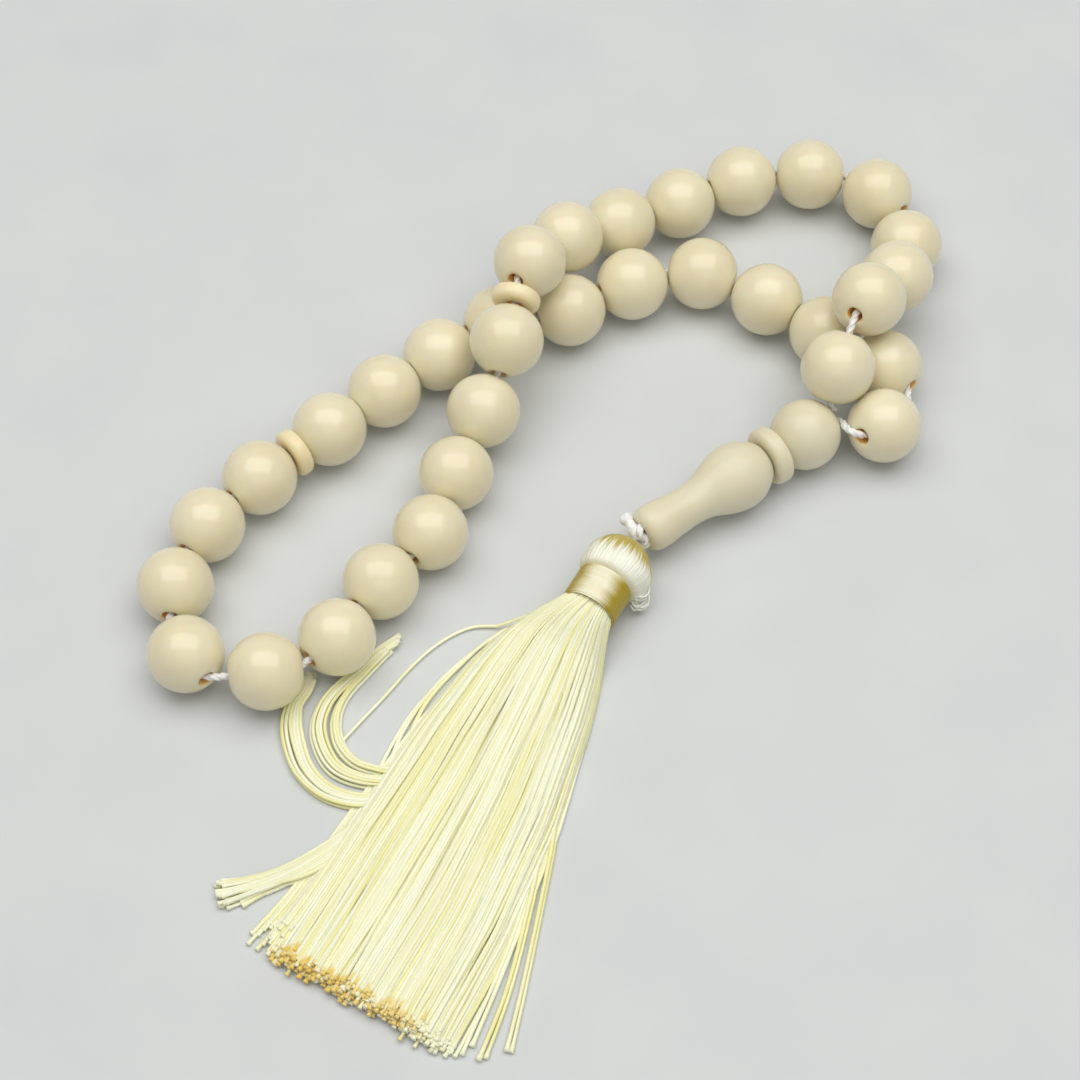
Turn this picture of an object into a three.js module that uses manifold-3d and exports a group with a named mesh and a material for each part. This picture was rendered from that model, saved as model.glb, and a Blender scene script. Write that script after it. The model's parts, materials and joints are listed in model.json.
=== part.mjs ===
// A misbaha: 33 beads and two marker discs on one string, which closes in a three-piece imam and a tassel.
// Millimetres, +Z up. z = 0 is the surface that it lies on, and the origin is the middle of its footprint.
import * as THREE from "three";
import { mergeVertices } from "three/addons/utils/BufferGeometryUtils.js";
import Module from "manifold-3d";

const wasm = await Module();
wasm.setup();

const BEAD_DIAMETER = 9.8;
const BEAD_LENGTH = 9.2; // between the small flats round the bore's two mouths
const BEAD_BORE = 2.4;
const DISC_DIAMETER = 6.6;
const DISC_LENGTH = 2;
const BEADS_IN_SECTION = 11;
const SECTIONS = 3;
const STRING_DIAMETER = 1;
const CLEARANCE = 0.2; // between one threaded piece and the next, and at every other joint face
const MESH_GAP = 0.3;

const IMAM_END = new THREE.Vector3(11.2, 2.6, 4.7); // the imam's end at the tassel
const IMAM_HEADING = 35.6; // degrees from +X, towards the beads
const IMAM_BORE = 3;
const IMAM_BODY_LENGTH = 19.8;
const IMAM_COLLAR_LENGTH = 2.35;
const IMAM_COLLAR_DIAMETER = 8;
const IMAM_HEAD_LENGTH = 8.9;
const IMAM_HEAD_DIAMETER = 9.4;
const STRAND_OFFSET = 0.65; // of each of the string's two strands from the imam's axis
const KNOT_OFFSET = 0.95; // of the knot's centre from the imam's end
const KNOT_TAIL_DIAMETER = 1.5;

const TASSEL_AT = new THREE.Vector3(7.5, -2.9, 0); // under the centre of the tassel's head
const TASSEL_HEADING = 240; // degrees from +X, towards the thread ends
const TASSEL_HEAD_RADIUS = 4.5;
const TASSEL_HEAD_CUT = 1.7; // from the head's centre to the flat where the binding starts
const BINDING_LENGTH = 5;
const BINDING_DIAMETER = 7.6;
const BINDING_THICKNESS = 0.7;
const HANGER_DIAMETER = 1.6;
const HANGER_LENGTH = 5.8;
const SKIRT_END = 65.3; // from the head's centre to the cut ends of the threads
const THREAD_DIAMETER = 0.65;
const BUNDLE_HEIGHT = 1.3; // two threads lying on each other

const ROUND = 12; // facets round a turned piece
const LENGTH_SAMPLES = 4000; // along a curve whose length is measured
const WELD = 1e-3; // points closer than this are one point
const UP = new THREE.Vector3(0, 0, 1);
const LATHE_AXIS = new THREE.Vector3(0, 1, 0);

// The line that the beads lie on, from the imam's mouth round the loop and back to it, chosen by hand.
const ROUTE = [
  [36.6, 21.6, 4.7],
  [36.2, 21.8, 7.5],
  [37.4, 25.2, 10.5],
  [39.3, 29.5, 13.6],
  [41.5, 33.5, 14],
  [46.5, 41.5, 9],
  [49, 50.5, 4.9],
  [45.5, 60, 4.9],
  [36, 63.5, 4.9],
  [26, 62, 4.9],
  [17.5, 58, 4.9],
  [9, 53.5, 6],
  [1.5, 48, 9.5],
  [-3.5, 40.4, 13.4],
  [-5.3, 34.3, 12.8],
  [-6.6, 28.3, 11],
  [-9.5, 21, 6.5],
  [-13, 12, 4.9],
  [-16, 3, 4.9],
  [-22.5, -5, 4.9],
  [-27.5, -13, 4.9],
  [-36, -18, 4.9],
  [-46, -16, 4.9],
  [-48.5, -5.5, 4.9],
  [-45, 4, 4.9],
  [-39, 11, 4.9],
  [-30, 19, 4.9],
  [-15.5, 31.5, 4.9],
  [-7.5, 37, 4.9],
  [2, 39, 4.9],
  [10.5, 43.5, 4.9],
  [20, 45.5, 4.9],
  [29, 41, 4.9],
  [36.5, 35.5, 4.9],
  [44.5, 29.5, 4.9],
  [47.2, 25, 4.8],
  [43.7, 19.5, 5.1],
  [38.6, 17.4, 8.6],
];

// Where the string leaves the imam's mouth and turns up to the first bead.
const LEAVING = [
  [36.6, 21.6, 4.7],
  [37.3, 21.9, 5.4],
  [36.9, 21.5, 6.3],
];

// Where the string leaves the last bead and turns back into the imam's mouth.
const RETURN = [
  [39.3, 16.9, 7.1],
  [38.3, 18.4, 6.4],
  [38.2, 19.8, 5.3],
  [37.3, 20.6, 4.7],
];

const FIRST_BEAD_AT = 7.5; // along the route from the imam's mouth
// Bare string, in mm, that shows before a piece, beyond the clearance.
const BARE_STRING = { bead_02: 0.4, bead_03: 0.6, bead_19: 0.5, bead_20: 0.3 };

const ivory = new THREE.MeshStandardMaterial({ color: 0xe8deba, roughness: 0.35, metalness: 0 });
const paleIvory = new THREE.MeshStandardMaterial({ color: 0xded8b9, roughness: 0.45, metalness: 0 });
const whiteCord = new THREE.MeshStandardMaterial({ color: 0xebebef, roughness: 0.8, metalness: 0 });
const creamSilk = new THREE.MeshStandardMaterial({ color: 0xf5f0d2, roughness: 0.45, metalness: 0 });
const goldSilk = new THREE.MeshStandardMaterial({ color: 0xc9b464, roughness: 0.4, metalness: 0 });

function vector([x, y, z]) {
  return new THREE.Vector3(x, y, z);
}

function named(name, geometry, material) {
  const mesh = new THREE.Mesh(geometry, material);
  mesh.name = name;
  return mesh;
}

// A turned piece: its outline gives [distance along the axis, radius], and a bore runs right through it.
function turned(outline, bore) {
  const first = outline[0][0];
  const last = outline[outline.length - 1][0];
  const profile = [[first, bore / 2], ...outline, [last, bore / 2], [first, bore / 2]];
  return new THREE.LatheGeometry(profile.map(([along, radius]) => new THREE.Vector2(radius, along)), ROUND);
}

// The outline of a ball of this diameter, cut flat so that it is this long.
function ballOutline(diameter, length, steps = 6) {
  const flat = Math.acos(length / diameter);
  const outline = [];
  for (let i = 0; i <= steps; i += 1) {
    const angle = Math.PI - flat - (i / steps) * (Math.PI - 2 * flat);
    outline.push([(diameter / 2) * Math.cos(angle), (diameter / 2) * Math.sin(angle)]);
  }
  return outline;
}

function discOutline(diameter, length) {
  const rim = length / 4;
  return [
    [-length / 2, diameter / 2 - rim],
    [-length / 2 + rim, diameter / 2],
    [length / 2 - rim, diameter / 2],
    [length / 2, diameter / 2 - rim],
  ];
}

// A closed tube of this diameter along a curve.
function tube(curve, diameter, steps, sides = 8) {
  const section = new THREE.Shape().absarc(0, 0, diameter / 2, 0, 2 * Math.PI);
  return new THREE.ExtrudeGeometry(section, { extrudePath: curve, steps, curveSegments: sides });
}

// A curve whose equal steps fall on its own points, so that a tube along it has a ring at each of them.
class StepwiseCurve extends THREE.CatmullRomCurve3 {
  getUtoTmapping(u) {
    return u;
  }
}

function smooth(points) {
  const curve = new THREE.CatmullRomCurve3(points, false, "centripetal");
  curve.arcLengthDivisions = LENGTH_SAMPLES;
  return curve;
}

function solid(geometry) {
  const bare = geometry.index ? geometry.toNonIndexed() : geometry.clone();
  bare.deleteAttribute("normal");
  bare.deleteAttribute("uv");
  const merged = mergeVertices(bare, WELD);
  const vertProperties = merged.attributes.position.array;
  return new wasm.Manifold(new wasm.Mesh({ numProp: 3, vertProperties, triVerts: merged.index.array }));
}

function joined(...geometries) {
  const mesh = geometries.map(solid).reduce((whole, next) => whole.add(next)).getMesh();
  const geometry = new THREE.BufferGeometry();
  geometry.setAttribute("position", new THREE.BufferAttribute(mesh.vertProperties, 3));
  geometry.setIndex(new THREE.BufferAttribute(mesh.triVerts, 1));
  return geometry;
}

// The pieces in the order in which the string passes through them.
function threadedPieces() {
  const bead = { length: BEAD_LENGTH, flat: Math.sqrt(BEAD_DIAMETER ** 2 - BEAD_LENGTH ** 2) / 2 };
  // A disc meets the ball beside it near the bore, so only the inner half of its face counts.
  const disc = { length: DISC_LENGTH, flat: DISC_DIAMETER / 4 };
  const pieces = [];
  for (let section = 0; section < SECTIONS; section += 1) {
    if (section > 0) pieces.push({ ...disc, name: `marker_disc_${section}` });
    for (let i = 1; i <= BEADS_IN_SECTION; i += 1) {
      const number = section * BEADS_IN_SECTION + i;
      pieces.push({ ...bead, name: `bead_${String(number).padStart(2, "0")}` });
    }
  }
  return pieces;
}

// How far a piece reaches from its centre towards a neighbour that lies in this direction.
function reach(piece, direction) {
  const angle = Math.acos(Math.min(1, Math.abs(piece.axis.dot(direction))));
  const edge = Math.atan2(piece.flat, piece.length / 2);
  const corner = Math.hypot(piece.flat, piece.length / 2);
  return corner * Math.cos(Math.max(0, edge - angle));
}

// Threads the pieces on the route, each as close to the last as its clearance and bare string allow.
function threaded(route) {
  const total = route.getLength();
  const step = 0.02;
  const place = (piece, at) => {
    piece.at = at;
    piece.centre = route.getPointAt(at / total);
    piece.axis = route.getTangentAt(at / total);
  };
  const pieces = threadedPieces();
  place(pieces[0], FIRST_BEAD_AT);
  for (let i = 1; i < pieces.length; i += 1) {
    const last = pieces[i - 1];
    const piece = pieces[i];
    const space = CLEARANCE + (BARE_STRING[piece.name] ?? 0);
    let free = -1;
    for (let at = last.at + (last.length + piece.length) / 2; free < space; at += step) {
      place(piece, at);
      const apart = new THREE.Vector3().subVectors(piece.centre, last.centre);
      const direction = apart.clone().normalize();
      free = apart.length() - reach(piece, direction) - reach(last, direction);
    }
  }
  return pieces;
}

function threadedMeshes(pieces) {
  const bead = turned(ballOutline(BEAD_DIAMETER, BEAD_LENGTH), BEAD_BORE);
  const disc = turned(discOutline(DISC_DIAMETER, DISC_LENGTH), BEAD_BORE);
  return pieces.map((piece) => {
    const mesh = named(piece.name, piece.name.startsWith("bead") ? bead : disc, ivory);
    mesh.position.copy(piece.centre);
    mesh.quaternion.setFromUnitVectors(LATHE_AXIS, piece.axis);
    return mesh;
  });
}

function imamAxis() {
  return new THREE.Vector3(1, 0, 0).applyAxisAngle(UP, THREE.MathUtils.degToRad(IMAM_HEADING));
}

// The string: in through the imam, round through every bead, and back out through the imam.
function stringMesh(pieces) {
  const axis = imamAxis();
  const side = new THREE.Vector3().crossVectors(UP, axis).multiplyScalar(STRAND_OFFSET);
  const strand = (along, way) => IMAM_END.clone().addScaledVector(axis, along).addScaledVector(side, way);
  const inside = [0.5, 8, 16, 24];
  const held = 0.48; // of a piece's length, each way from its centre, where the string runs straight
  const points = inside.map((along) => strand(along, 1));
  points.push(...LEAVING.map(vector));
  for (const piece of pieces) {
    points.push(piece.centre.clone().addScaledVector(piece.axis, -held * piece.length));
    points.push(piece.centre.clone().addScaledVector(piece.axis, held * piece.length));
  }
  points.push(...RETURN.map(vector));
  points.push(...inside.reverse().map((along) => strand(along, -1)));
  const curve = new StepwiseCurve(points, false, "centripetal");
  return named("string", tube(curve, STRING_DIAMETER, points.length - 1), whiteCord);
}

// Both ends of the string, tied off against the imam's end, with a melted tail.
function knotMesh() {
  const axis = imamAxis();
  const ball = new THREE.SphereGeometry(1, 10, 8);
  ball.scale(0.65, 1.7, 1.5);
  ball.rotateZ(THREE.MathUtils.degToRad(IMAM_HEADING));
  const centre = IMAM_END.clone().addScaledVector(axis, -KNOT_OFFSET);
  ball.translate(centre.x, centre.y, centre.z);
  const tail = smooth([vector([10.2, 2.5, 5.2]), vector([9.5, 3.6, 5.8]), vector([8.9, 4.6, 5.6])]);
  return named("string_knot", joined(ball, tube(tail, KNOT_TAIL_DIAMETER, 4)), whiteCord);
}

// The imam's pieces, from its end at the tassel to the mouth that the string comes out of.
function imamMeshes() {
  const body = turned(
    [
      [0, 2.3],
      [0.9, 2.95],
      [2.2, 3.1],
      [7.8, 2.7],
      [10, 3],
      [12.2, 3.9],
      [14, 4.45],
      [15.6, 4.55],
      [17.3, 4.2],
      [18.6, 3.5],
      [IMAM_BODY_LENGTH, 2.7],
    ],
    IMAM_BORE,
  );
  const collarStart = IMAM_BODY_LENGTH + CLEARANCE;
  const collar = turned(discOutline(IMAM_COLLAR_DIAMETER, IMAM_COLLAR_LENGTH), IMAM_BORE);
  collar.translate(0, collarStart + IMAM_COLLAR_LENGTH / 2, 0);
  const headStart = collarStart + IMAM_COLLAR_LENGTH + CLEARANCE;
  const head = turned(ballOutline(IMAM_HEAD_DIAMETER, IMAM_HEAD_LENGTH), IMAM_BORE);
  head.translate(0, headStart + IMAM_HEAD_LENGTH / 2, 0);
  const imam = new THREE.Group();
  imam.add(named("imam_body", body, paleIvory));
  imam.add(named("imam_collar", collar, paleIvory));
  imam.add(named("imam_head_bead", head, paleIvory));
  imam.position.copy(IMAM_END);
  imam.quaternion.setFromUnitVectors(LATHE_AXIS, imamAxis());
  return imam;
}

// A solid along the tassel's axis: its outline gives [distance from the head's centre, radius].
function aroundTassel(outline, bore) {
  const geometry = turned(outline, bore);
  geometry.rotateZ(-Math.PI / 2);
  geometry.translate(0, 0, TASSEL_HEAD_RADIUS);
  return geometry;
}

// A dome, open at the top for the hanger and cut flat where the binding starts.
function tasselHead() {
  const outline = [];
  for (const degrees of [165.5, 150, 132, 114, 96, 80]) {
    const angle = THREE.MathUtils.degToRad(degrees);
    outline.push([TASSEL_HEAD_RADIUS * Math.cos(angle), TASSEL_HEAD_RADIUS * Math.sin(angle)]);
  }
  outline.push([TASSEL_HEAD_CUT, Math.sqrt(TASSEL_HEAD_RADIUS ** 2 - TASSEL_HEAD_CUT ** 2)]);
  return named("tassel_head", aroundTassel(outline, HANGER_DIAMETER + 2 * MESH_GAP), creamSilk);
}

// The cord inside the head that hangs the tassel from the knot.
function tasselHanger() {
  const hanger = new THREE.CylinderGeometry(HANGER_DIAMETER / 2, HANGER_DIAMETER / 2, HANGER_LENGTH, 8);
  hanger.rotateZ(Math.PI / 2);
  hanger.translate(TASSEL_HEAD_CUT - HANGER_LENGTH / 2, 0, TASSEL_HEAD_RADIUS);
  return named("tassel_hanger", hanger, whiteCord);
}

function tasselBinding() {
  const start = TASSEL_HEAD_CUT + MESH_GAP;
  const end = start + BINDING_LENGTH;
  const radius = BINDING_DIAMETER / 2;
  const rim = 0.5;
  const outline = [
    [start, radius - rim],
    [start + rim, radius],
    [end - rim, radius],
    [end, radius - rim],
  ];
  const bore = BINDING_DIAMETER - 2 * BINDING_THICKNESS;
  return named("tassel_binding", aroundTassel(outline, bore), goldSilk);
}

// The threads where the binding gathers them.
function tasselCore() {
  const radius = BINDING_DIAMETER / 2 - BINDING_THICKNESS - MESH_GAP;
  const core = new THREE.CylinderGeometry(radius, radius, BINDING_LENGTH, ROUND);
  core.rotateZ(Math.PI / 2);
  core.translate(TASSEL_HEAD_CUT + MESH_GAP + BINDING_LENGTH / 2, 0, TASSEL_HEAD_RADIUS);
  return named("tassel_core", core, creamSilk);
}

// A mat of threads with this outline, lying on the surface, whose top follows a height along the tassel.
function mat(outline, heightAt) {
  const shape = new THREE.Shape(outline.map(([along, across]) => new THREE.Vector2(along, across)));
  const geometry = new THREE.ExtrudeGeometry(shape, { depth: 1, bevelEnabled: false });
  const position = geometry.getAttribute("position");
  for (let i = 0; i < position.count; i += 1) {
    position.setZ(i, position.getZ(i) * heightAt(position.getX(i)));
  }
  return geometry;
}

function tasselSkirt() {
  const start = TASSEL_HEAD_CUT + BINDING_LENGTH + 2 * MESH_GAP;
  const outline = [
    [start, -3.6],
    [12, -8.5],
    [20, -10.5],
    [32, -12],
    [48, -11.7],
    [SKIRT_END, -11.2],
    [SKIRT_END, 14],
    [50, 13.5],
    [34, 11],
    [20, 7.5],
    [10, 4.2],
    [start, 3.4],
  ];
  const spreadHeight = 2.4;
  const gathered = 5.4; // added to it at the binding
  const fall = 12;
  const heightAt = (along) => spreadHeight + gathered * Math.exp((start - along) / fall);
  return named("tassel_skirt", mat(outline, heightAt), creamSilk);
}

// Threads that have spread out of the skirt.
function looseMats() {
  const right = [
    [37, 12.2],
    [50, 14],
    [65, 18],
    [64, 21.2],
    [51, 17.6],
  ];
  const left = [
    [50.5, -12.2],
    [61.4, -21],
    [62.9, -17.4],
    [55, -12.2],
  ];
  const flat = () => BUNDLE_HEIGHT;
  return [
    named("right_loose_threads", mat(right, flat), creamSilk),
    named("left_loose_threads", mat(left, flat), creamSilk),
  ];
}

// Bundles that curl away from the skirt, and single threads: each is a tube that lies on the surface.
function curls() {
  const lying = (points, diameter, lift = 0) => {
    const curve = smooth(points.map(([along, across]) => vector([along, across, diameter / 2 + lift])));
    return tube(curve, diameter, Math.round(curve.getLength() / (2 * diameter)));
  };
  const outer = [
    [30.2, -26.8],
    [32.9, -25.8],
    [35.4, -25.8],
    [37.8, -24.9],
    [40.4, -22.8],
    [42.8, -19.9],
    [43.9, -16.4],
    [43.6, -12.9],
  ];
  const inner = [
    [20.8, -19.6],
    [23.5, -20.8],
    [26.7, -21.5],
    [29.7, -22.1],
    [33, -22.3],
    [36.2, -21.4],
    [38.5, -19.4],
    [39.8, -16.6],
    [39.4, -13],
  ];
  const stray = [
    [11.4, -8.9],
    [12.9, -11],
    [14.2, -12.9],
    [16.4, -14.3],
    [19.5, -15.6],
    [23.4, -16.5],
    [28.3, -17.1],
    [36.5, -18.4],
  ];
  const tuft = [
    [-1.4, 4.8],
    [0.5, 5.3],
    [2.6, 4.7],
  ];
  return [
    named("outer_curl_bundle", lying(outer, BUNDLE_HEIGHT), creamSilk),
    named("inner_curl_bundle", lying(inner, BUNDLE_HEIGHT), creamSilk),
    named("stray_thread", lying(stray, THREAD_DIAMETER), creamSilk),
    named("head_tuft", lying(tuft, BUNDLE_HEIGHT, 0.4), whiteCord),
  ];
}

function tasselMeshes() {
  const tassel = new THREE.Group();
  tassel.add(tasselHead(), tasselHanger(), tasselBinding(), tasselCore(), tasselSkirt());
  tassel.add(...looseMats(), ...curls());
  tassel.position.copy(TASSEL_AT);
  tassel.rotation.z = THREE.MathUtils.degToRad(TASSEL_HEADING);
  return tassel;
}

const pieces = threaded(smooth(ROUTE.map(vector)));
const misbaha = new THREE.Group();
misbaha.add(...threadedMeshes(pieces), stringMesh(pieces), knotMesh(), imamMeshes(), tasselMeshes());

export default misbaha;
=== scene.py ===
"""A misbaha: ivory resin beads on a white cord, closed by a turned imam and a cream silk tassel."""

import json
import math
import random

import bpy
import numpy as np
from mathutils import Matrix, Vector


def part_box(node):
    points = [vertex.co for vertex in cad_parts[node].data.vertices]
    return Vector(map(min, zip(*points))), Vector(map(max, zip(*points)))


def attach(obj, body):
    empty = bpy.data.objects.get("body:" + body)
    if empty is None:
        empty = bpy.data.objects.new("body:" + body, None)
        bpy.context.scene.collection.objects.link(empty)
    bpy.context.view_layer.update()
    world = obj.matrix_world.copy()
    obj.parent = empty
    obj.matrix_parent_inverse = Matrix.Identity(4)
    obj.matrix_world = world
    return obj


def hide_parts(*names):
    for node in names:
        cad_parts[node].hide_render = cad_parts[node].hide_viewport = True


MM = 0.001
TAU = 2 * math.pi
UP = np.array((0.0, 0.0, 1.0))

CAMERA_AT = (-0.0020, -0.1795, 0.28363)
CAMERA_TILT = math.radians(33)  # up from looking straight down
CAMERA_LENS = 85.9
CAMERA_SENSOR = 36

SECTIONS = 3
BEADS_IN_SECTION = 11
BEAD_DIAMETER = 9.88 * MM
BEAD_LENGTH = 9.34 * MM
BEAD_BORE = 2.1 * MM
MOUTH_ROUND = 0.26 * MM  # radius of the edge where a bore meets the outside
MOUTH_PAINTED_GLOW = [0.9, 0.7, 0.35, 0.1, 0.0]  # share of the bore's painted warm light over that edge, from inside to outside
DISC_DIAMETER = 6.6 * MM
DISC_LENGTH = 2.1 * MM
DISC_ROUND = 0.8 * MM
RIM_CURVE = 6  # degrees by which a disc's rim is not flat
TURNED_SEGMENTS = 96

IMAM_BORE = 2.4 * MM
# Along the imam's body from its tassel end, and out from its axis, in mm.
IMAM_BODY = (
    (0, 1.9), (0.12, 2.35), (0.9, 2.95), (2.2, 3.12), (5, 2.86), (7.8, 2.72), (10, 3.02),
    (12.2, 3.88), (14, 4.43), (15.6, 4.56), (17.3, 4.22), (18.6, 3.5), (19.5, 2.75), (19.8, 2.3),
)
IMAM_COLLAR_AT = 21.18 * MM  # the collar's middle, from the imam's tassel end
IMAM_COLLAR_DIAMETER = 8.0 * MM
IMAM_COLLAR_LENGTH = 2.4 * MM
IMAM_COLLAR_ROUND = 0.85 * MM
IMAM_HEAD_AT = 27.0 * MM  # the head bead's middle, from the imam's tassel end
IMAM_HEAD_DIAMETER = 9.45 * MM
IMAM_HEAD_LENGTH = 8.98 * MM

STRING_DIAMETER = 1.0 * MM
STRING_PITCH = 3.2 * MM  # of one turn of its three plies
STRING_STEP = 0.16 * MM
BEAD_CAD_LENGTH = 9.2 * MM
DISC_CAD_LENGTH = 2.0 * MM
STRAIGHT_SHARE = 0.415  # of a piece's length, each way from its centre, where the string runs straight
IMAM_STRAND_OFFSET = 0.65 * MM
IMAM_STRAND_STOPS = (-0.3 * MM, 8 * MM, 16 * MM, 24 * MM)
# Where the string leaves the imam's mouth and turns up to the first bead, in the frame's metres.
STRING_LEAVING = (
    (0.0366, 0.0216, 0.0047),
    (0.0373, 0.0219, 0.0054),
    (0.0369, 0.0215, 0.0063),
)
# Where the string leaves the last bead and turns back into the imam's mouth.
STRING_RETURN = (
    (0.0393, 0.0169, 0.0071),
    (0.0383, 0.0184, 0.0064),
    (0.0382, 0.0198, 0.0053),
    (0.0373, 0.0206, 0.0047),
)

KNOT_BACK = 0.45 * MM  # from the imam's end to the knot's middle
KNOT_WIDE = 0.48 * MM
KNOT_HIGH = 0.46 * MM
KNOT_DEEP = 0.3 * MM
KNOT_CORD_RADIUS = 0.52 * MM
# The melted tail's line, in mm of the whole object's frame.
KNOT_TAIL = ((10.9, 2.0, 4.8), (10.2, 2.6, 5.3), (9.5, 3.6, 5.8), (8.9, 4.6, 5.6))
# The melted tail's radius in mm, at shares of its length.
TAIL_SHARES = (0, 0.25, 0.5, 0.66, 0.82, 0.93, 0.98, 1)
TAIL_RADII = (0.8, 0.95, 0.75, 0.62, 0.95, 0.95, 0.62, 0.2)

# The tassel has a frame of its own: along it from under its head, across it to the right, and up.
TASSEL_AT = (0.0075, -0.0029, 0.0)
TASSEL_HEADING = math.radians(240)
AXIS_HEIGHT = 4.5 * MM  # of the tassel's axis, at its head
SEED = 33

# Along the tassel, and out from its axis, in mm.
HEAD_OUTLINE = (
    (-3.7, 0.85), (-4.2, 1.0), (-4.32, 1.5), (-3.95, 2.35), (-3.1, 3.28), (-1.9, 3.95),
    (-0.5, 4.24), (0.8, 4.2), (1.6, 3.95), (2.05, 3.55), (2.6, 3.3),
)
HEAD_CORE = ((-3.9, 1.0), (-3.6, 2.2), (-2.6, 3.4), (-0.6, 4.0), (1.0, 3.9), (1.8, 3.5))
HEAD_CORE_BORE = ((1.8, 0.95), (-3.9, 0.95))
HEAD_STRANDS = 140
HEAD_STEPS = 42
PUFF_HEIGHT = 0.75 * MM  # by which the head's strands stand out on its right side
PUFF_SIDE = math.radians(10)  # up from straight to the right
HANGER = ((-5.05, 0.0, 4.6), (-4.6, 0.0, 4.55), (-3.0, 0.0, 4.5), (0.0, 0.0, 4.5), (1.6, 0.0, 4.5))
HANGER_RADIUS = 0.72 * MM
TUFT_STRANDS = 14

BINDING_START = 2.0 * MM
BINDING_END = 7.0 * MM
BINDING_RADIUS = 3.63 * MM
BINDING_PITCH = 0.2 * MM
BINDING_THREAD_RADIUS = 0.13 * MM
BINDING_STEPS = 64  # in each turn

THREAD_DIAMETER = 0.52 * MM
THREAD_RADIUS = THREAD_DIAMETER / MM / 2  # in mm
# The skirt's two edges: along the tassel, and across it, in mm.
SKIRT_LEFT = (
    (5, -3.0), (7.3, -3.6), (9.6, -6.4), (13, -9), (19, -10.4), (30, -11.4), (48, -11.6), (66, -11.4),
)
SKIRT_RIGHT = (
    (5, 3.0), (7.3, 3.3), (10, 4.2), (14, 5.7), (20, 7.6), (34, 11.0), (50, 13.4), (66, 14.2),
)
SKIRT_START = 4.2  # in mm along the tassel, hidden under the binding
SKIRT_FREE = 8  # where the threads come free of the binding
SKIRT_END = 66.1  # of the threads on the table
SKIRT_TOP_SHORTER = 1.7  # how much sooner the top threads end
SKIRT_LAYERS = 6
SKIRT_ACROSS = 72
FAN = 13  # how far the left edge's threads fan out at their tips, in mm for each unit of rank
FAN_RANK = 0.12  # the threads to the left of this rank fan out
HEAP_HEIGHT = 2.3  # of the skirt lying on the table, in mm
GATHER_HEIGHT = 5.3  # added to that at the binding
BOUND_RADIUS = 3.0  # of the threads under the binding

KEY_AT = (0.0, 0.09, 0.72)
KEY_SIZE = (1.10, 0.62)
KEY_POWER = 5.15
KEY_COLOUR = (1.0, 0.985, 0.955)
FILL_AT = (0.12, -0.38, 0.58)
FILL_SIZE = (0.80, 0.60)
FILL_POWER = 0.8
FILL_COLOUR = (1.0, 0.99, 0.97)
WORLD_COLOUR = (1.0, 0.99, 0.97, 1.0)
WORLD_STRENGTH = 0.29
FLOOR_HALF = 1.5
FLOOR_LEVEL = -0.08 * MM

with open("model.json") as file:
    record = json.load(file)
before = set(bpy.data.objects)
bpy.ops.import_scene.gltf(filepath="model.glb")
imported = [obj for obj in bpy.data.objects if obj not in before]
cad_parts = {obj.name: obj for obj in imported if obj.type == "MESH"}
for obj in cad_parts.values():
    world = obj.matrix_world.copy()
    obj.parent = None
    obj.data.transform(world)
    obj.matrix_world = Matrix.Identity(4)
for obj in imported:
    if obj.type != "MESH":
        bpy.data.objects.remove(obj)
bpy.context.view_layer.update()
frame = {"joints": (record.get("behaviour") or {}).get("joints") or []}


# ---------------------------------------------------------------- camera

def make_camera():
    data = bpy.data.cameras.new("camera")
    data.lens = CAMERA_LENS
    data.sensor_width = CAMERA_SENSOR
    camera = bpy.data.objects.new("camera", data)
    camera.location = CAMERA_AT
    camera.rotation_euler = (CAMERA_TILT, 0, 0)
    bpy.context.scene.collection.objects.link(camera)
    bpy.context.scene.camera = camera


# ---------------------------------------------------------------- lines and values

def unit(vectors):
    return vectors / np.linalg.norm(vectors, axis=-1, keepdims=True)


def rising(value, start, length):
    """0 up to the start, then evenly up to 1 over this length."""
    return np.clip((value - start) / length, 0, 1)


def falling(value, end, length):
    """1 until this length before the end, then evenly down to 0."""
    return np.clip((end - value) / length, 0, 1)


def smooth_line(points, count):
    """Points evenly spread along a centripetal Catmull-Rom curve through these points."""
    points = np.asarray(points, float)
    points = np.vstack((2 * points[0] - points[1], points, 2 * points[-1] - points[-2]))
    steps_between = 24
    fine = []
    for p0, p1, p2, p3 in zip(points, points[1:], points[2:], points[3:]):
        t1 = np.linalg.norm(p1 - p0) ** 0.5
        t2 = t1 + np.linalg.norm(p2 - p1) ** 0.5
        t3 = t2 + np.linalg.norm(p3 - p2) ** 0.5
        t = np.linspace(t1, t2, steps_between, endpoint=False)[:, None]
        a1 = (t1 - t) / t1 * p0 + t / t1 * p1
        a2 = (t2 - t) / (t2 - t1) * p1 + (t - t1) / (t2 - t1) * p2
        a3 = (t3 - t) / (t3 - t2) * p2 + (t - t2) / (t3 - t2) * p3
        b1 = (t2 - t) / t2 * a1 + t / t2 * a2
        b2 = (t3 - t) / (t3 - t1) * a2 + (t - t1) / (t3 - t1) * a3
        fine.append((t2 - t) / (t2 - t1) * b1 + (t - t1) / (t2 - t1) * b2)
    fine = np.vstack(fine + [points[-2]])
    along = np.concatenate(([0], np.cumsum(np.linalg.norm(np.diff(fine, axis=0), axis=1))))
    even = np.linspace(0, along[-1], count)
    return np.stack([np.interp(even, along, fine[:, k]) for k in range(fine.shape[1])], axis=1)


def length_of(line):
    return float(np.linalg.norm(np.diff(line, axis=0), axis=1).sum())


# ---------------------------------------------------------------- meshes

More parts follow.
